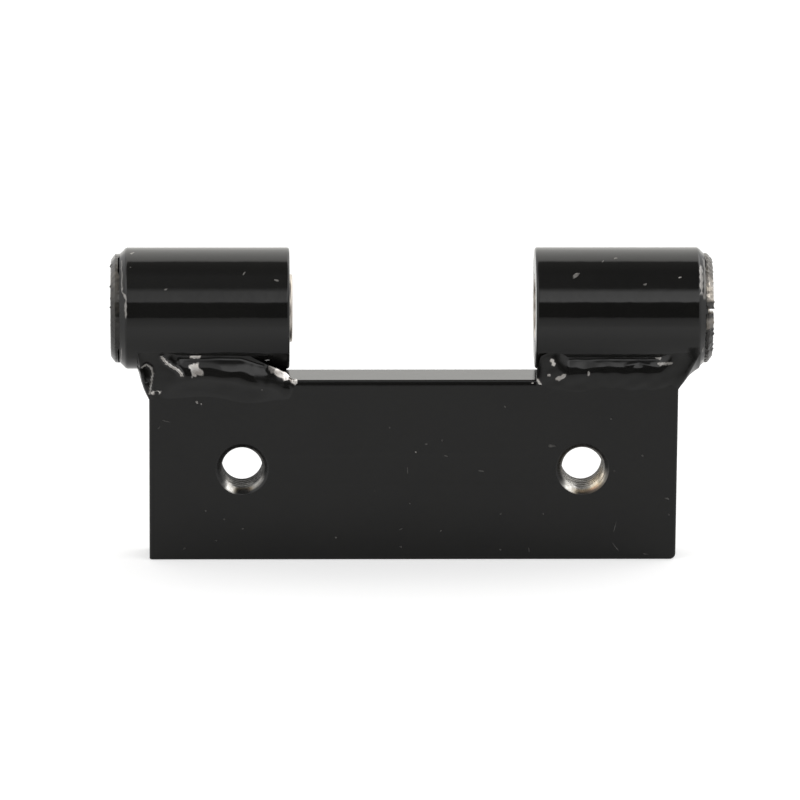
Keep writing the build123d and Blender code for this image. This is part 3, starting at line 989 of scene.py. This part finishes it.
# %% Chip patches
def scabs(places, lay, lift, rings=5, spokes=22):
    """Scabs from rows of (u, v, length, width, turn in degrees). Ring k of a scab lies at k / (rings - 1) of
    its ragged radius, which is 1 plus three sine waves of the angle, and the rings drop from the lift to just
    under the surface. One more ring is the scab's hidden middle."""
    u0, v0, length, width, turn = (np.array(column)[:, None, None] for column in zip(*places))
    share = np.append(np.linspace(0, 1, rings), 0.0)[None, :, None]
    height = np.append(np.linspace(1, 0.35, rings - 1), [-0.6, -0.6])[None, :, None] * lift
    spoke = np.linspace(0, 2 * np.pi, spokes, endpoint=False)[None, None, :]
    number = np.arange(len(places))[:, None, None]
    ragged = 1 + 0.22 * np.sin(2 * spoke + 1.7 * number) + 0.16 * np.sin(3 * spoke + 2.9 * number)
    ragged = ragged + 0.1 * np.sin(5 * spoke + 0.8 * number)
    a = share * ragged * length / 2 * np.cos(spoke)
    b = share * ragged * width / 2 * np.sin(spoke)
    c, s = np.cos(np.radians(turn)), np.sin(np.radians(turn))
    points = lay(u0 + a * c - b * s, v0 + a * s + b * c, height + 0 * a)
    one_scab = np.array(grid_faces(rings + 1, spokes, wrap_columns=True))
    faces = one_scab + number * (rings + 1) * spokes
    return points, faces.reshape(-1, 4).tolist()


def on_tube(u, v, height):
    """A place u along the pin and v millimetres round the tube from its front, lifted off by a height."""
    return turned(u, tube_radius + height, v / tube_radius)


def on_leaf(u, v, height):
    """A place u along the leaf and v below its top edge, lifted off its front face by a height."""
    u, v, height = np.broadcast_arrays(u, v, height)
    return np.stack([u, front_face - height, leaf_top - v], axis=-1)


def round_tube(rows):
    """Rows of scabs whose second number is an angle, with that angle as millimetres round the tube."""
    return [(along, np.radians(degrees) * tube_radius, *size) for along, degrees, *size in rows]


# %% [markdown]
# ### Finishes of chips, spatter and dust
# A fresh chip is bright, an older one has dulled, the spatter drop is nearly white as a painted glint, and
# dust is only a little lighter than the paint. All four are the same patchy recipe between a dark and a light
# colour. One grey for all would look like confetti.

# %% Chip finishes
def patchy_finish(name, dark, light, metallic):
    """A scuffed finish, patchy between a dark and a light colour."""
    finish, tree, shader, place = new_finish(name)
    patch = spread(tree, noise(tree, place, 900, 3), 0.35, 0.65)
    tree.links.new(blend(tree, patch, dark, light), shader.inputs["Base Color"])
    tree.links.new(spread(tree, patch, 0, 1, 0.35, 0.6), shader.inputs["Roughness"])
    shader.inputs["Metallic"].default_value = metallic
    return finish


bare_chip = patchy_finish("bare_chip", (0.20, 0.19, 0.18, 1), (0.52, 0.50, 0.47, 1), 0.4)
dulled_chip = patchy_finish("dulled_chip", (0.08, 0.076, 0.072, 1), (0.24, 0.23, 0.215, 1), 0.3)
# Painted glint: the spatter drop is nearly white, so that it shows as the bright glint on its droplet.
bright_spatter = patchy_finish("bright_spatter", (0.62, 0.61, 0.59, 1), (0.95, 0.94, 0.92, 1), 0.0)
settled_dust = patchy_finish("settled_dust", (0.030, 0.029, 0.027, 1), (0.085, 0.083, 0.078, 1), 0.0)
print("chip finishes:", [finish.name for finish in (bare_chip, dulled_chip, bright_spatter, settled_dust)])

# %% [markdown]
# ### Where they lie
# Each row is one scab: its place along the hinge, then its angle on the tube or its distance below the
# leaf's top edge, then its length, width and turn in degrees.

# %% Lay the chips, spatter, specks and dust
tube_chips = [
    (-57.6, 77.0, 1.1, 0.7, 30),
    (54.7, 42.9, 0.65, 0.38, 20),
    (54.3, -36.8, 0.55, 0.5, 0),
]
# The spatter drop beside the left weld, coloured as a painted glint.
glint_spatter_drops = [(-29.95, -46.1, 1.0, 0.5, 0)]
tube_nicks = [
    (-50.6, 30.8, 0.75, 0.4, 10),
    (-34.6, 47.6, 1.0, 0.4, 60),
    (-27.9, 39.9, 1.1, 0.5, 0),
    (33.4, 45.1, 2.3, 0.8, 38),
    (47.5, 35.5, 0.75, 0.6, 0),
    (39.0, 62.6, 0.7, 0.35, 70),
    (41.7, 67.2, 1.1, 0.65, 40),
]
leaf_specks = [
    (-44.3, 4.6, 0.7, 0.5, 30),
    (-43.4, 5.0, 0.4, 0.25, 80),
    (24.6, 0.6, 0.45, 0.3, 20),
    (0.7, 15.2, 0.38, 0.32, 0),
]
leaf_grime = [
    (-52.1, 10.0, 0.8, 0.20, -50),
    (-50.6, 8.6, 1.6, 0.30, 15),
    (-46.9, 35.6, 0.5, 0.35, 0),
    (-42.5, 27.6, 0.5, 0.35, 20),
    (-40.4, 33.9, 0.5, 0.25, 0),
    (-34.9, 31.4, 0.4, 0.30, 0),
    (-15.7, 33.3, 0.5, 0.35, 40),
    (-4.7, 10.0, 0.4, 0.30, 0),
    (-2.3, 31.5, 0.8, 0.25, -33),
    (-2.3, 35.3, 0.5, 0.45, 60),
    (-1.0, 19.1, 2.0, 0.18, 88),
    (-0.5, 26.1, 0.4, 0.30, 0),
    (2.8, 13.5, 0.5, 0.40, 0),
    (5.9, 31.9, 0.5, 0.30, -40),
    (6.1, 12.7, 0.4, 0.30, 0),
    (6.9, 16.0, 0.8, 0.28, 10),
    (14.1, 19.2, 1.1, 0.40, 10),
    (18.2, 28.3, 0.5, 0.35, 0),
    (18.2, 35.9, 0.5, 0.30, 0),
    (19.0, 5.6, 0.5, 0.40, 30),
    (24.1, 35.9, 1.0, 0.18, 85),
    (27.0, 28.3, 0.3, 0.28, 0),
    (28.6, 13.9, 1.8, 0.65, -8),
    (40.8, 8.2, 0.5, 0.40, 30),
    (41.8, 31.1, 2.4, 0.16, 105),
    (42.0, 35.4, 3.2, 0.16, 52),
    (47.3, 16.0, 0.5, 0.40, 0),
    (48.2, 36.9, 1.0, 0.30, 10),
    (52.5, 25.1, 1.2, 0.35, 25),
    (52.9, 28.5, 0.6, 0.30, 40),
]
chip_lift, drop_lift, dust_lift = 0.03, 0.06, 0.02
kinds = [
    ("tube_chips", round_tube(tube_chips), on_tube, chip_lift, bare_chip),
    ("weld_spatter", round_tube(glint_spatter_drops), on_tube, drop_lift, bright_spatter),
    ("tube_nicks", round_tube(tube_nicks), on_tube, chip_lift, dulled_chip),
    ("leaf_specks", leaf_specks, on_leaf, chip_lift, bare_chip),
    ("leaf_dust", leaf_grime, on_leaf, dust_lift, settled_dust),
]
for name, places, lay, lift, finish in kinds:
    make_piece(name, *scabs(places, lay, lift), finish, "black_paint", sharp_degrees=60)

# %% [markdown]
# ## Camera
# The picture was taken with a long lens from a little above, almost square to the leaf. A Track To
# constraint could aim the camera; here its three directions are worked out from the angles, which also gives
# it the small lean of the picture. The lens is chosen so that one picture width covers the right number of
# millimetres at the aim point. No shift and no blur.

# %% Camera
look_down, look_aside, lean = np.radians([13.59, -1.116, 0.214])
aim = np.array([-2.55, -7.5, -17.70])
distance = 1850.0
picture_pixels, mm_per_pixel = 800, 0.2056
picture_width = picture_pixels * mm_per_pixel
sensor_width = 36.0
aside = np.array([np.sin(look_aside), -np.cos(look_aside), 0.0])
back = aside * np.cos(look_down) + np.array([0.0, 0.0, np.sin(look_down)])
level = np.array([np.cos(look_aside), np.sin(look_aside), 0.0])
upright = np.cross(back, level)
placed = np.eye(4)
placed[:3, 0] = level * np.cos(lean) + upright * np.sin(lean)
placed[:3, 1] = upright * np.cos(lean) - level * np.sin(lean)
placed[:3, 2] = back
placed[:3, 3] = (aim + distance * back) * mm
lens = bpy.data.cameras.new("camera")
lens.sensor_width = sensor_width
lens.lens = sensor_width * distance / picture_width
lens.clip_end = 100.0
camera = bpy.data.objects.new("camera", lens)
camera.matrix_world = Matrix(placed.tolist())
scene.collection.objects.link(camera)
scene.camera = camera
print("lens", round(lens.lens, 1), "mm")

# %% [markdown]
# ## Studio
# Gloss black is lit by what it mirrors. Area lights could stand for the studio, but their edges show as hard
# bars on a tube. So the room is drawn on the world by direction: a white backdrop behind that ends overhead,
# a dark ceiling, a long softbox in front and above, a dark stretch below it, and bright panels at the sides,
# the right one stronger. To the camera itself the world is plain white.

# %% World
scene.view_settings.view_transform = "Standard"
world = bpy.data.worlds.new("studio")
world.use_nodes = True
scene.world = world
sky = world.node_tree
sky.nodes.clear()


def by_height(direction_z, *stops, tint=(1.0, 1.0, 1.0)):
    """Light by elevation: stops of (degrees above the horizon, brightness), with straight runs between, all
    times a tint."""
    node = put(sky, "ShaderNodeValToRGB", _0=maths(sky, "MULTIPLY_ADD", direction_z, 0.5, 0.5))
    ramp = node.color_ramp
    ramp.elements.remove(ramp.elements[1])
    for k, (degrees, brightness) in enumerate(stops):
        place = (np.sin(np.radians(degrees)) + 1) / 2
        stop = ramp.elements[0] if k == 0 else ramp.elements.new(place)
        stop.position = place
        stop.color = (*(brightness * share for share in tint), 1)
    return node.outputs[0]


heading = put(sky, "ShaderNodeTexCoord").outputs["Generated"]
x, y, z = put(sky, "ShaderNodeSeparateXYZ", _0=heading).outputs
warm = (1.0, 0.99, 0.955)
softbox = [(-90, 0.07), (22.5, 0.07), (24.5, 0.88), (44, 0.78), (52, 0.21), (75, 0.23), (90, 0.13)]
backdrop = [(-90, 1.2), (10, 1.15), (30, 1.36), (45, 1.5), (60, 1.5), (66.5, 1.25), (69, 0.18), (90, 0.13)]
room_front = by_height(z, *softbox)
room_front_right = by_height(z, (-90, 0.03), (22.5, 0.03), (24.5, 1.6), (42, 1.35), (50, 0.12), (90, 0.09))
room_back = by_height(z, *backdrop, tint=warm)
left_front = by_height(z, (-90, 0.4), (0, 1.0), (22, 1.1), (36, 1.6), (55, 1.7), (70, 0.15), (90, 0.12))
left_back = by_height(z, (-90, 0.5), (0, 0.9), (55, 1.0), (66, 0.15), (90, 0.12))
right_front = by_height(z, (-90, 0.4), (0, 0.8), (22, 0.9), (36, 1.9), (55, 2.0), (70, 0.15), (90, 0.12))
right_back = by_height(z, (-90, 0.4), (0, 0.8), (22, 0.9), (36, 2.5), (50, 2.8), (66, 0.2), (90, 0.12))
behind = spread(sky, y, -0.2, 0.2)
room_left = blend(sky, behind, left_front, left_back)
room_right = blend(sky, behind, right_front, right_back)
room_front = blend(sky, spread(sky, x, -0.012, 0.055), room_front, room_front_right)
room = blend(sky, spread(sky, y, -0.05, 0.05), room_front, room_back)
room = blend(sky, spread(sky, x, -0.28, -0.45), room, room_left)
room = blend(sky, spread(sky, x, 0.28, 0.45), room, room_right)
seen = put(sky, "ShaderNodeLightPath").outputs["Is Camera Ray"]
room = blend(sky, seen, room, (1.0, 1.0, 1.0, 1.0))
background = put(sky, "ShaderNodeBackground", Color=room)
sky.links.new(background.outputs[0], put(sky, "ShaderNodeOutputWorld").inputs[0])
print("world:", len(sky.nodes), "nodes")

# %% [markdown]
# ## Floor
# The hinge stands on the lower edge of its leaf, on a wide pale sheet. A shadow catcher would need a
# compositor, so the sheet is a plain surface. Its own lit colour is what the paint mirrors. To the camera a
# little light is added, so that the sheet runs into the white backdrop and only a faint shadow stays under
# the leaf.

# %% Floor
floor_reach, floor_front = 6000.0, 520.0
sheet_glow = 0.45
sheet_dark, sheet_light = (0.67, 0.67, 0.67, 1), (0.69, 0.69, 0.69, 1)
corners = [(-floor_reach, -floor_front), (floor_reach, -floor_front)]
corners += [(floor_reach, floor_reach), (-floor_reach, floor_reach)]
sheet = np.column_stack([corners, np.full(4, leaf_bottom)]) * mm
mesh = bpy.data.meshes.new("floor")
mesh.from_pydata(sheet.tolist(), [], [(0, 1, 2, 3)])
floor = bpy.data.objects.new("floor", mesh)
scene.collection.objects.link(floor)
pale, tree, shader, place = new_finish("pale_sheet")
tone = blend(tree, noise(tree, place, 3, 2), sheet_dark, sheet_light)
tree.links.new(tone, shader.inputs["Base Color"])
shader.inputs["Roughness"].default_value = 0.12
shader.inputs["IOR"].default_value = 1.5
seen = put(tree, "ShaderNodeLightPath").outputs["Is Camera Ray"]
unseen = maths(tree, "SUBTRACT", 1.0, seen)
tree.links.new(maths(tree, "MULTIPLY", unseen, 0.5), shader.inputs["Specular IOR Level"])
shader.inputs["Emission Color"].default_value = (1, 1, 1, 1)
tree.links.new(maths(tree, "MULTIPLY", seen, sheet_glow), shader.inputs["Emission Strength"])
mesh.materials.append(pale)
print("floor at", leaf_bottom, "mm")
